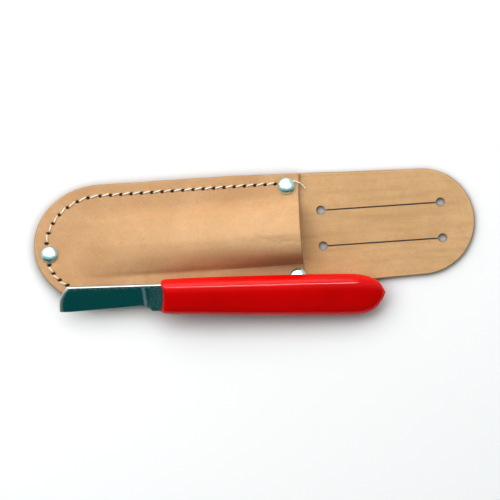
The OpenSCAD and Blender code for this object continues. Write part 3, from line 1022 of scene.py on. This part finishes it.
@dataclass
class PocketLeather(LeatherPanel):
    """The moulded front panel, stitched and riveted to the back along three sides."""

    name: str = "pocket_leather"
    spacing: float = 0.55
    creases: tuple = (
        ((-69, -1.5), (-55, -6.5), 0.22), ((-62, -2.8), (-52, -3.6), 0.14), ((-57, -4.6), (-44.5, -6.0), 0.26),
        ((-53, -2.6), (-45, -3.2), 0.12), ((-78, -3.0), (-66, -5.5), 0.10), ((-52, -7.5), (-45, -11.0), 0.12),
    )

    def build(self) -> bpy.types.Object:
        """Models the panel.

        Returns:
            The finished piece.
        """
        plan = self.plan
        straight = plan.mouth - plan.toe_centre
        count = round(straight / self.spacing)
        places = [plan.toe_centre + straight * i / count for i in range(count)]
        places += [plan.mouth - step for step in (0.4, 0.22, 0.1, 0.03, 0.0)]
        spokes = plan.side_spokes(places[::-1], 1) + plan.toe_spokes(210) + plan.side_spokes(places, -1)
        bm, upper, lower = self.slab(spokes, closed=False)
        layers = {name: bm.verts.layers.float[name] for name in ("inset", "hole", "rim", "painted_light")}
        for vert in upper:
            x, y = vert.co.xy
            mouth_gap = plan.mouth - x
            hole = plan.hole_depth(x, y)
            edge_gap = min(vert[layers["inset"]], mouth_gap + 0.02)
            lift = plan.bulge(x, y)
            vert.co.z = plan.top + lift - round_over(edge_gap, self.corner) + self.relief(x, y, lift)
            vert.co.z -= 1.3 * hole + plan.rivet_press(x, y) + self.seam_pull(x, y)
            # Painted shade: the hole mark darkens the stitch holes.
            vert[layers["hole"]] = clamp(1.35 * hole)
            # Darker at the burnished cut edge and along the creases.
            edge_and_crease_dark = 0.8 * (1 - ease(edge_gap / 0.6)) + 1.6 * self.crease_depth(x, y)
            # Painted shade: the fold beside the bulge near the mouth is darkened through the rim mark.
            vert[layers["rim"]] = clamp(edge_and_crease_dark + self.valley_painted_shade(x, y))
            # Painted light: the higher the pocket stands, the paler it is made.
            vert[layers["painted_light"]] = clamp(lift / 9)
        for vert in lower:
            x, y = vert.co.xy
            vert.co.z = plan.leather + plan.bulge(x, y) + 0.02
        self.round_wall(bm, upper)
        for vert in bm.verts:
            x, y = vert.co.xy
            middle = 1 - min(1.0, (y / plan.half_width) ** 2)
            vert.co.x -= plan.mouth_bow * middle * clamp((x - plan.toe_centre) / straight) ** 6
            near = 1 - ease(vert[layers["inset"]] / 5)
            vert.co.y += 0.12 * near * ripple(x, y, 15, 9.2)
        return as_piece(bm, self.name)

    def relief(self, x: float, y: float, lift: float) -> float:
        """Small wear of the moulded face: soft dents, and creases where the mouth flexes.

        Args:
            x: Place along the sheath.
            y: Place across it.
            lift: Height of the pocket there.

        Returns:
            Height to add.
        """
        soft = 0.16 * ripple(x, y, 19, 1.7) + 0.08 * ripple(x, y, 7, 4.2)
        return clamp(lift / 2) * soft - self.crease_depth(x, y)

    def valley_painted_shade(self, x: float, y: float) -> float:
        """Returns the painted shade in the fold beside the bulge, near the mouth: how much darker the leather is made
        there.
        """
        along = ease((x - self.plan.mouth + 54) / 46)
        off = y + 16.8 + 0.4 * ripple(x, y, 5, 3.3)
        across = 1 - ease((abs(off) - 0.8) / (5.0 if off > 0 else 9.5))
        return 0.8 * along * across

    def crease_depth(self, x: float, y: float) -> float:
        """Returns how deep a crease of the leather is at a place near the mouth."""
        place, depth = Vector((x, y)), 0.0
        for start, end, deep in self.creases:
            along = Vector(end) - Vector(start)
            share = (place - Vector(start)).dot(along) / along.length_squared
            if -0.2 < share < 1.2:
                wave = 0.35 * ripple(x, y, 2.5, 2.2)
                away = abs(along.normalized().cross(place - Vector(start))) + wave
                fade = ease(1 - abs(2 * clamp(share, -0.2, 1.2) - 1) ** 3 / 2)
                depth += deep * fade * (1 - ease(abs(away) / 0.9))
        return depth

    def seam_pull(self, x: float, y: float) -> float:
        """Returns how far the tight seam draws the leather down at a place."""
        _, _, away = self.plan.spots.find((x, y, 0))
        return 0.16 * (1 - ease(away / 2.6))


@dataclass
class Thread:
    """Twisted thread: a few plies that turn about a line."""

    radius: float = 0.42
    plies: int = 3
    twist: float = 2.0
    sides: int = 6

    def strand(self, line: Sequence[Vector], fray: float = 0.0) -> list[bmesh.types.BMesh]:
        """Lays twisted plies along a line.

        Args:
            line: Points that the strand follows.
            fray: How far the plies part at the line's far end.

        Returns:
            One closed mesh for each ply.
        """
        lengths = [0.0]
        for start, end in zip(line, line[1:]):
            lengths.append(lengths[-1] + (end - start).length)
        ply = self.radius * 0.52
        made = []
        for number in range(self.plies):

            def shape(column: int, row: int, number: int = number) -> Vector:
                inner = int(clamp(row - 1, 0, len(line) - 1))
                ahead, behind = line[min(inner + 1, len(line) - 1)], line[max(inner - 1, 0)]
                along = (ahead - behind).normalized()
                across = along.orthogonal() if abs(along.z) > 0.98 else Vector((-along.y, along.x, 0)).normalized()
                above = along.cross(across)
                turn = 2 * math.pi * (lengths[inner] / self.twist + number / self.plies)
                spread = (self.radius - ply) * (1 + fray * (inner / (len(line) - 1)) ** 4)
                centre = line[inner] + spread * (math.cos(turn) * across + math.sin(turn) * above)
                if row in (0, len(line) + 1):
                    return centre
                angle = 2 * math.pi * column / self.sides
                return centre + ply * (math.cos(angle) * across + math.sin(angle) * above)

            made.append(bent_sheet(self.sides + 1, len(line) + 2, shape))
        return made


@dataclass
class Seam:
    """The stitching that holds pocket and back together."""

    plan: SheathPlan
    thread: Thread = field(default_factory=Thread)
    outward: float = 0.8
    steps: int = 12

    def stitch(self, start: Vector, end: Vector, height: float, rise: float) -> list[Vector]:
        """The line of one stitch, which comes up out of one hole and goes down the next.

        Args:
            start: The first hole.
            end: The next hole.
            height: Level of the leather's face.
            rise: Height of the stitch's middle above that level; negative below a lower face.

        Returns:
            Points along the stitch.
        """
        along = end - start
        out = Vector((along.y, -along.x)).normalized() * self.outward
        line = []
        for i in range(self.steps + 1):
            t = i / self.steps
            dive = max(0.0, abs(2 * t - 1) - 0.66) / 0.34
            flat = start.lerp(end, lerp(0.15, 0.83, t)) + out * (1 - t)
            line.append(flat.to_3d() + Vector((0, 0, height + rise * (1 - 2.4 * dive**2))))
        return line

    def build(self) -> dict[str, bpy.types.Object]:
        """Models both faces of the seam.

        Returns:
            The pocket's stitches and the rear stitches, by name.
        """
        plan = self.plan
        front, rear = [], []
        for run in plan.runs:
            for start, end in zip(run, run[1:]):
                front += self.thread.strand(self.stitch(start, end, plan.top - 0.05, 0.42))
                rear += self.thread.strand(self.stitch(start, end, 0.92, -0.48))
        return {
            "pocket_stitches": as_piece(joined(front), "pocket_stitches", crease=60),
            "rear_stitches": as_piece(joined(rear), "rear_stitches", crease=60),
        }


@dataclass
class LooseEnd:
    """The thread's cut end, which leaves the upper rivet and hangs over the mouth's edge."""

    plan: SheathPlan
    thread: Thread = field(default_factory=lambda: Thread(radius=0.36, twist=1.9))

    def build(self) -> bpy.types.Object:
        """Models the end.

        Returns:
            The finished piece.
        """
        plan = self.plan
        top, low = plan.top, plan.leather
        route = (
            (-4.4, 1.1, top + 0.30), (-3.1, 0.85, top + 0.42), (-2.1, 0.5, top + 0.45), (-1.1, 0.05, top + 0.45),
            (-0.1, -0.45, top + 0.25), (0.6, -1.05, top - 0.6), (1.2, -1.75, low + 1.35), (1.8, -2.55, low + 0.75),
            (2.5, -3.5, low + 0.45),
        )
        seam = plan.half_width - plan.seam_inset
        axes = [[(i, point[k]) for i, point in enumerate(route)] for k in range(3)]
        count = 36
        line = [
            Vector([through(axis, (len(route) - 1) * i / count) for axis in axes]) + Vector((plan.mouth, seam, 0))
            for i in range(count + 1)
        ]
        return as_piece(joined(self.thread.strand(line, fray=1.6)), "loose_thread_end", crease=60)


@dataclass
class Rivet:
    """A double-cap rivet: a domed cap with a rolled rim, and a post with a flat rear flange."""

    spot: str
    plan: SheathPlan
    radius: float = 4.58
    dome: float = 2.08
    rim: float = 0.42
    shank: float = 1.5

    def cap_profile(self) -> list[tuple[float, float]]:
        """Returns the domed cap's profile, from the top of the dome round to its socket."""
        crown = self.radius - self.rim * 0.55
        profile = [
            (crown * math.sin(a), self.rim + (self.dome - self.rim) * math.cos(a) ** 0.9)
            for a in (math.radians(7.2 * i) for i in range(12))
        ]
        centre = self.radius - self.rim
        profile += [
            (centre + self.rim * math.cos(a), self.rim + self.rim * math.sin(a))
            for a in (math.radians(40 - 16 * i) for i in range(9))
        ]
        return profile + [(self.shank + 0.1, 0.02), (self.shank + 0.1, 1.05), (0.0, 1.05)]

    def post_profile(self) -> list[tuple[float, float]]:
        """Returns the post's profile, from the middle of its rear flange to the end of its shank."""
        head = self.plan.top + 1.0
        flange = [(0.0, 0.16), (1.1, 0.14), (1.5, 0.05), (self.radius - 0.35, 0.03), (self.radius - 0.1, 0.12)]
        flange += [(self.radius, 0.35), (self.radius, 0.85), (self.radius - 0.12, 0.98)]
        return flange + [(self.shank, 1.0), (self.shank, head - 0.15), (self.shank - 0.2, head), (0.0, head)]

    def build(self) -> dict[str, bpy.types.Object]:
        """Models the rivet.

        Returns:
            Its cap and post, by name.
        """
        place = Matrix.Translation(self.plan.rivets[self.spot].to_3d())
        lifted = place @ Matrix.Translation((0, 0, self.plan.top - 0.04))
        cap = as_piece(spun(self.cap_profile(), 64), f"{self.spot}_rivet_dome", lifted, crease=50)
        post = as_piece(spun(self.post_profile(), 48), f"{self.spot}_rivet_shank", place, crease=35)
        return {f"{self.spot}_rivet_cap": cap, f"{self.spot}_rivet_post": post}


@dataclass
class Sheath:
    """The belt sheath: two leathers, their seam and their rivets."""

    plan: SheathPlan
    body: str = "sheath"

    def build(self) -> list[bpy.types.Object]:
        """Models, dresses and mounts every piece of the sheath.

        Returns:
            The pieces.
        """
        seam = Seam(self.plan).build()
        pieces = {
            "back_panel": (BackLeather(self.plan).build(), Finish.BACK, "back_leather"),
            "front_panel": (PocketLeather(self.plan).build(), Finish.POCKET, "pocket_leather"),
            "front_thread": (seam["pocket_stitches"], Finish.THREAD, "thread"),
            "back_thread": (seam["rear_stitches"], Finish.THREAD, "thread"),
            "thread_tail": (LooseEnd(self.plan).build(), Finish.THREAD, "thread"),
        }
        for spot in self.plan.rivets:
            for node, piece in Rivet(spot, self.plan).build().items():
                pieces[node] = (piece, Finish.NICKEL, "rivet_nickel")
        return mount(pieces, self.body)


# ---------------------------------------------------------------- knife


@dataclass(frozen=True)
class KnifeLay:
    """How the knife lies, leaning on the sheath's lower margin with its butt on the table."""

    half_width: float
    front: float = -121.6
    height: float = 13.5
    yaw: float = -3.0
    pitch: float = 2.7
    roll: float = 27.0

    @property
    def place(self) -> Matrix:
        """The knife's own frame, X from the handle's front to its butt and Y towards the spine, in the sheath's."""
        turn = Matrix.Rotation(math.radians(self.yaw), 4, "Z")
        turn = turn @ Matrix.Rotation(math.radians(self.pitch), 4, "Y")
        turn = turn @ Matrix.Rotation(math.radians(self.roll), 4, "X")
        return Matrix.Translation((self.front, 0.4 - self.half_width, self.height)) @ turn


@dataclass
class Blade:
    """The one-piece blade and tang: hollow ground, straight edged, with a plain ricasso."""

    length: float = 56.6
    width: float = 16.2
    thickness: float = 2.2
    spine_drop: float = 1.0
    land: float = 1.2
    edge: float = -8.3
    heel: tuple[float, float] = (-12.5, -5.2)
    ricasso: float = -5.8
    edge_thickness: float = 0.25
    grind_curve: float = 2.3
    plunge_radius: float = 2.8
    tip_sweep: float = 4.34
    tang_length: float = 98.0
    columns: int = 26
    crown: float = 0.5
    crown_steps: int = 7
    pins: tuple[float, ...] = (22.0, 56.0, 90.0)

    def spine(self, x: float) -> float:
        """Returns the upper side of blade or tang at x."""
        half = self.width / 2
        if x <= 0.8:
            return half + self.spine_drop * min(0.0, x) / self.length
        return through(((0.8, half), (4, 6.4), (95, 4.8), (98, 2.4)), x)

    def belly(self, x: float) -> float:
        """Returns the lower side at x: cutting edge, choil, ricasso or tang."""
        half = self.width / 2
        if x > 0.8:
            return -self.spine(x)
        if x >= self.ricasso:
            return -half
        if x > self.heel[0]:
            t = (x - self.heel[0]) / (self.ricasso - self.heel[0])
            return lerp(self.heel[1], -half, t * t * (1.5 - 0.5 * t))
        share = clamp((x - self.heel[0]) / (6 - self.length - self.heel[0]))
        drop = lerp(self.heel[1], self.edge - 0.05, share**0.92)
        return drop + 0.35 * ease((-self.length + 1.6 - x) / 1.6)

    def tip(self, y: float) -> float:
        """Returns where the tip's curved end is at a height on the blade."""
        top = self.spine(-self.length) + 4
        return -self.length + self.tip_sweep * (max(0.0, y + 4) / top) ** 2

    def half_thickness(self, x: float, y: float) -> float:
        """Half the steel's thickness at a place on the blade.

        Args:
            x: Place along the knife.
            y: Place across it.

        Returns:
            The distance from the middle plane to the face.
        """
        full = self.thickness / 2
        if x > -2:
            return full
        low, high = self.belly(x), self.spine(x) - self.land
        share = clamp((y - low) / (high - low))
        ground = lerp(self.edge_thickness / 2, full, share**self.grind_curve)
        plunge = -8.6 - 0.2 * y + 0.013 * y * y
        t = clamp((x - plunge + self.plunge_radius) / self.plunge_radius)
        ground = lerp(ground, full, 1 - math.cos(math.pi / 2 * t))
        tip_gap = clamp((x - self.tip(y)) / 1.9)
        return ground * (1 - 0.72 * (1 - tip_gap) ** 2)

    def satin(self, x: float, y: float) -> float:
        """Returns how satin the steel is: full on the narrow lands at spine, tip and plunge."""
        tip = 1 - ease((x - self.tip(y)) / 3.0)
        land = 0.55 * (1 - ease((self.spine(x) - self.crown - y) / 2.4))
        edge = 0.8 * (1 - ease((y - self.belly(x)) / 0.5))
        plunge = 0.75 * (1 - ease(abs(x + 10.3 + 0.12 * y) / 1.7))
        ricasso = 0.28 * ease((x + 8.0) / 0.8)
        return clamp(max(tip, land, edge, plunge, ricasso))

    def section(self, x: float, column: int) -> tuple[float, float]:
        """One point round the blade's section: up one face from the edge, over the spine and down the other.

        Args:
            x: Place along the knife.
            column: Which point.

        Returns:
            The point's Y, and its Z before the blade's ends are closed.
        """
        half_round = self.columns + self.crown_steps
        side = 1 if column <= half_round else -1
        step = column if side > 0 else 2 * half_round - column
        low, high = self.belly(x), self.spine(x)
        if step == 0:
            return low, 0.0
        if step < self.columns:
            y = lerp(low + 0.1, high - self.crown, ((step - 1) / (self.columns - 2)) ** 1.15)
            return y, side * self.half_thickness(x, y)
        angle = math.pi / 2 * (step - self.columns + 1) / (self.crown_steps + 1)
        y = high - self.crown * (1 - math.sin(angle))
        return y, side * self.half_thickness(x, y) * math.cos(angle)

    def build(self, place: Matrix) -> bpy.types.Object:
        """Models the blade.

        Args:
            place: The knife's lay.

        Returns:
            The finished piece.
        """
        blade_rows = [i / 64 for i in range(65)]
        fine = [-12.6 + 0.2 * i for i in range(45)]
        tang = [-3.6, -2.4, -1.2, 0.0, 0.8, 1.4, 2.4, 4.0, *range(12, 95, 8), 95.0, 96.5, 98.0]
        start = -12.8
        rows = len(blade_rows) + len(fine) + len(tang)

        def shape(column: int, row: int) -> Vector:
            closed = row in (0, rows + 1)
            row = int(clamp(row - 1, 0, rows - 1))
            if row >= len(blade_rows):
                x = (fine + tang)[row - len(blade_rows)]
                y, z = self.section(x, column)
                return Vector((x, y, 0.0 if closed else z))
            share = blade_rows[row] ** 1.35
            y, _ = self.section(lerp(-self.length, start, share), column)
            x = lerp(self.tip(y), start, share)
            y, z = self.section(x, column)
            return Vector((x, y, 0.0 if closed else z))

        bm = bent_sheet(2 * (self.columns + self.crown_steps) + 1, rows + 2, shape)
        satin = bm.verts.layers.float.new("satin")
        for vert in bm.verts:
            vert[satin] = self.satin(vert.co.x, vert.co.y)
        piece = as_piece(bm, "polished_blade", place, crease=24)
        drills = []
        for x in self.pins:
            drill = spun(((0, -4), (1.65, -4), (1.65, 4), (0, 4)), 32)
            bmesh.ops.translate(drill, vec=(x, 0, 0), verts=drill.verts)
            drills.append(drill)
        cut_away(piece, joined(drills), place)
        return piece


@dataclass
class DippedCoat:
    """The handle's vinyl coat: a thick glossy skin with a rounded lip round the blade and a drip at the butt."""

    length: float = 121.2
    coat: float = 1.2
    squareness: float = 3.0
    points: int = 72
    upper: Stations = (
        (0, 9.1), (1.2, 9.65), (3, 9.95), (8, 10.15), (20, 10.5), (55, 11.1), (80, 11.4), (100, 11.45),
        (106, 11.2), (111, 10.3), (115, 9.0), (118, 7.2), (120, 4.9), (121.4, 2.7), (122.3, 0.78),
    )
    lower: Stations = (
        (0, -8.5), (1.2, -9.1), (3, -9.45), (8, -9.7), (20, -10.1), (40, -10.7), (60, -11.2), (80, -11.6),
        (100, -11.8), (106, -11.75), (110, -11.3), (114.5, -9.9), (117, -8.1), (119.5, -5.0), (121.2, -2.0),
        (122.3, 0.78),
    )
    thick: Stations = (
        (0, 4.7), (1.2, 5.3), (3, 5.6), (8, 5.75), (30, 6.2), (80, 6.4), (100, 6.3), (108, 5.8), (114, 4.7),
        (118.5, 3.1), (121, 1.6), (122.3, 0.0),
    )

    def ring(self, x: float, inset: float, angle: float) -> tuple[float, float]:
        """One point of the handle's section.

        Args:
            x: Place along the handle.
            inset: How far inside the outer face.
            angle: Angle round the section, in radians.

        Returns:
            The point's Y and Z in the knife's frame.
        """
        high = through(self.upper, x) - inset
        low = through(self.lower, x) + inset
        half_height, middle = max(0.0, (high - low) / 2), (high + low) / 2
        half_thick = max(0.0, through(self.thick, x) - inset)
        c, s = math.cos(angle), math.sin(angle)
        power = 2 / self.squareness
        return (
            middle + half_height * math.copysign(abs(c) ** power, c),
            half_thick * math.copysign(abs(s) ** power, s),
        )

    def slot(self, angle: float, wide: float, thick: float) -> tuple[float, float]:
        """Returns a point of the slot that the blade comes out of."""
        c, s = math.cos(angle), math.sin(angle)
        return wide * math.copysign(abs(c) ** 0.22, c), thick * math.copysign(abs(s) ** 0.5, s)

    def build(self, place: Matrix) -> bpy.types.Object:
        """Models the coat as one skin: outside, front lip, slot and inside.

        Args:
            place: The knife's lay.

        Returns:
            The finished piece.
        """
        outer = [122.3, 122.1, 121.8, 121.4, 120.9, 120.3, 119.6, 118.8, 118, 117, 116, 115, 113.8, 112.5, 111, 109.5]
        outer += [108 - 2.5 * i for i in range(41)] + [6.5, 5, 4, 3.2, 2.5, 1.9, 1.4, 1.0, 0.65, 0.35, 0.12, 0.0]
        lip = [0.06, 0.15, 0.27, 0.4, 0.55, 0.7, 0.82, 0.92, 1.0]
        inner = [1.25, 2, 5, *range(10, 111, 10), 114, 117, 119, 120.2]
        rows = len(outer) + len(lip) + len(inner) + 1
        stretch = self.length / outer[0]

        def shape(column: int, row: int) -> Vector:
            angle = 2 * math.pi * (column % self.points) / self.points
            if row < len(outer):
                x = outer[row]
                y, z = self.ring(x, 0.0, angle)
                bow = (0.3 - 0.0188 * y * y) * ease(1 - x / 7)
                return Vector((stretch * x + bow + self.sag(x, angle), y, z))
            row -= len(outer)
            if row < len(lip):
                share = lip[row]
                y, z = self.ring(0, 0.0, angle)
                slot_y, slot_z = self.slot(angle, self.width_of_slot, 1.16)
                bow = 0.3 - 0.0188 * y * y
                dish = -0.16 * math.sin(math.pi * min(1, share * 2.4)) + 0.34 * ease((share - 0.3) / 0.5)
                creep = -0.75 * ease((share - 0.72) / 0.28)
                return Vector((bow + dish + creep, lerp(y, slot_y, share), lerp(z, slot_z, share)))
            row -= len(lip)
            if row == 0:
                y, z = self.slot(angle, self.width_of_slot, 1.16)
                return Vector((self.coat, y, z))
            x = inner[row - 1]
            if row == len(inner):
                return Vector((stretch * x + 0.6, 0.9, 0))
            y, z = self.ring(x, self.coat, angle)
            return Vector((stretch * x, y, z))

        return as_piece(bent_sheet(self.points + 1, rows, shape), "dipped_handle", place, crease=70)

    @property
    def width_of_slot(self) -> float:
        """Half the width of the slot round the blade."""
        return 8.16

    def sag(self, x: float, angle: float) -> float:
        """Returns a slight waver of the dipped skin along the handle."""
        return 0.05 * noise.noise(Vector((x / 14, math.cos(angle) * 1.5, math.sin(angle) * 1.5)))


@dataclass
class Knife:
    """The knife: blade, dipped coat, and the core and pins sealed inside."""

    lay: KnifeLay
    body: str = "knife"

    def build(self, nodes: dict[str, bpy.types.Object]) -> list[bpy.types.Object]:
        """Models, dresses and mounts the knife's pieces.

        Args:
            nodes: The frame's CAD nodes, of which the sealed ones are dressed and kept.

        Returns:
            The pieces.
        """
        pieces = {
            "blade": (Blade().build(self.lay.place), Finish.STEEL, "blade_steel"),
            "vinyl_coat": (DippedCoat().build(self.lay.place), Finish.VINYL, "red_vinyl"),
        }
        Finish.WOOD.dress(nodes["front_handle_half"], nodes["rear_handle_half"])
        Finish.PIN.dress(*(nodes[f"tang_pin_{number}"] for number in (1, 2, 3)))
        return mount(pieces, self.body)


def mount(pieces: dict[str, tuple[bpy.types.Object, Finish, str]], body: str) -> list[bpy.types.Object]:
    """Dresses pieces, lets each stand for its CAD node, and fixes them to a body.

    Args:
        pieces: CAD node to its piece, finish and material slot.
        body: The body that they move with.

    Returns:
        The pieces.
    """
    for node, (piece, finish, slot) in pieces.items():
        finish.dress(piece)
        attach(piece, body)
        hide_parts(node)
        LOG.info("%s rides on %s with %d points", piece.name, body, len(piece.data.vertices))
    return [piece for piece, _, _ in pieces.values()]


# ---------------------------------------------------------------- studio


@dataclass
class Softbox:
    """A rectangular studio light."""

    name: str
    at: tuple[float, float, float]
    size: tuple[float, float]
    power: float
    tint: Colour = (1.0, 1.0, 1.0)
    gloss_only: bool = False

    def build(self, target: Vector) -> None:
        """Hangs the light, turned to a target.

        Args:
            target: What it lights, in metres.
        """
        data = bpy.data.lights.new(self.name, "AREA")
        data.shape = "RECTANGLE"
        data.size, data.size_y = self.size
        data.energy = self.power
        data.color = self.tint
        light = bpy.data.objects.new(self.name, data)
        light.location = target + Vector(self.at)
        light.visible_camera = False
        light.visible_diffuse = not self.gloss_only
        light.rotation_mode = "QUATERNION"
        light.rotation_quaternion = (target - light.location).to_track_quat("-Z", "Y")
        bpy.context.scene.collection.objects.link(light)


@dataclass
class Studio:
    """A pale table, soft light and a camera that looks straight down."""

    roll: float = 3.92
    centre: tuple[float, float] = (-0.0729, -0.0092)
    frame_width: float = 0.27385
    distance: float = 2.2
    sensor: float = 36.0
    ceiling: Colour = (0.73, 0.73, 0.73)
    south: Colour = (0.002, 0.078, 0.080)
    lights: tuple[Softbox, ...] = (
        Softbox("key", (-0.26, 0.50, 0.62), (1.3, 0.7), 7.6),
        Softbox("strip", (0.0, 0.12, 1.0), (0.9, 0.12), 8.0, gloss_only=True),
    )

    def build(self) -> None:
        """Sets up table, lights, surroundings and camera."""
        bm = bmesh.new()
        bmesh.ops.create_grid(bm, x_segments=8, y_segments=8, size=3.0)
        bmesh.ops.translate(bm, vec=(0, 0, -0.00015), verts=bm.verts)
        bmesh.ops.scale(bm, vec=(1 / MM,) * 3, verts=bm.verts)
        table = as_piece(bm, "table")
        Finish.TABLE.dress(table)
        middle = Vector((*self.centre, 0.0))
        for light in self.lights:
            light.build(middle)
        self.surround()
        self.camera(middle)
        bpy.context.scene.view_settings.view_transform = "Standard"

    def surround(self) -> None:
        """Makes the room's own light: a pale ceiling and north wall, and a dark teal south side."""
        world = bpy.data.worlds.new("room")
        world.use_nodes = True
        tree = world.node_tree
        tree.nodes.clear()
        output = tree.nodes.new("ShaderNodeOutputWorld")
        background = tree.nodes.new("ShaderNodeBackground")
        wall = tree.nodes.new("ShaderNodeMapRange")
        split = tree.nodes.new("ShaderNodeSeparateXYZ")
        coordinates = tree.nodes.new("ShaderNodeTexCoord")
        mix = tree.nodes.new("ShaderNodeMix")
        mix.data_type = "RGBA"
        for key, value in (("From Min", -0.10), ("From Max", -0.62)):
            wall.inputs[key].default_value = value
        mix.inputs[6].default_value = (*self.ceiling, 1)
        mix.inputs[7].default_value = (*self.south, 1)
        tree.links.new(coordinates.outputs["Generated"], split.inputs["Vector"])
        tree.links.new(split.outputs["Y"], wall.inputs["Value"])
        tree.links.new(wall.outputs["Result"], mix.inputs[0])
        tree.links.new(mix.outputs[2], background.inputs["Color"])
        tree.links.new(background.outputs["Background"], output.inputs["Surface"])
        bpy.context.scene.world = world

    def camera(self, middle: Vector) -> None:
        """Hangs the camera over the object with a long lens.

        Args:
            middle: The point under the centre of the view.
        """
        data = bpy.data.cameras.new("camera")
        data.sensor_width = self.sensor
        data.lens = self.sensor * self.distance / self.frame_width
        data.clip_end = 20
        camera = bpy.data.objects.new("camera", data)
        camera.location = middle + Vector((0, 0, self.distance))
        camera.rotation_euler = (0, 0, math.radians(-self.roll))
        bpy.context.scene.collection.objects.link(camera)
        bpy.context.scene.camera = camera


def main() -> None:
    """Builds everything in order."""
    logging.basicConfig(level=logging.INFO, format="%(message)s")
    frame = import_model()
    Studio().build()
    plan = SheathPlan.from_frame()
    pieces = Sheath(plan).build()
    pieces += Knife(KnifeLay(plan.half_width)).build(frame["nodes"])
    LOG.info("%d pieces made", len(pieces))


if __name__ == "__main__":
    main()
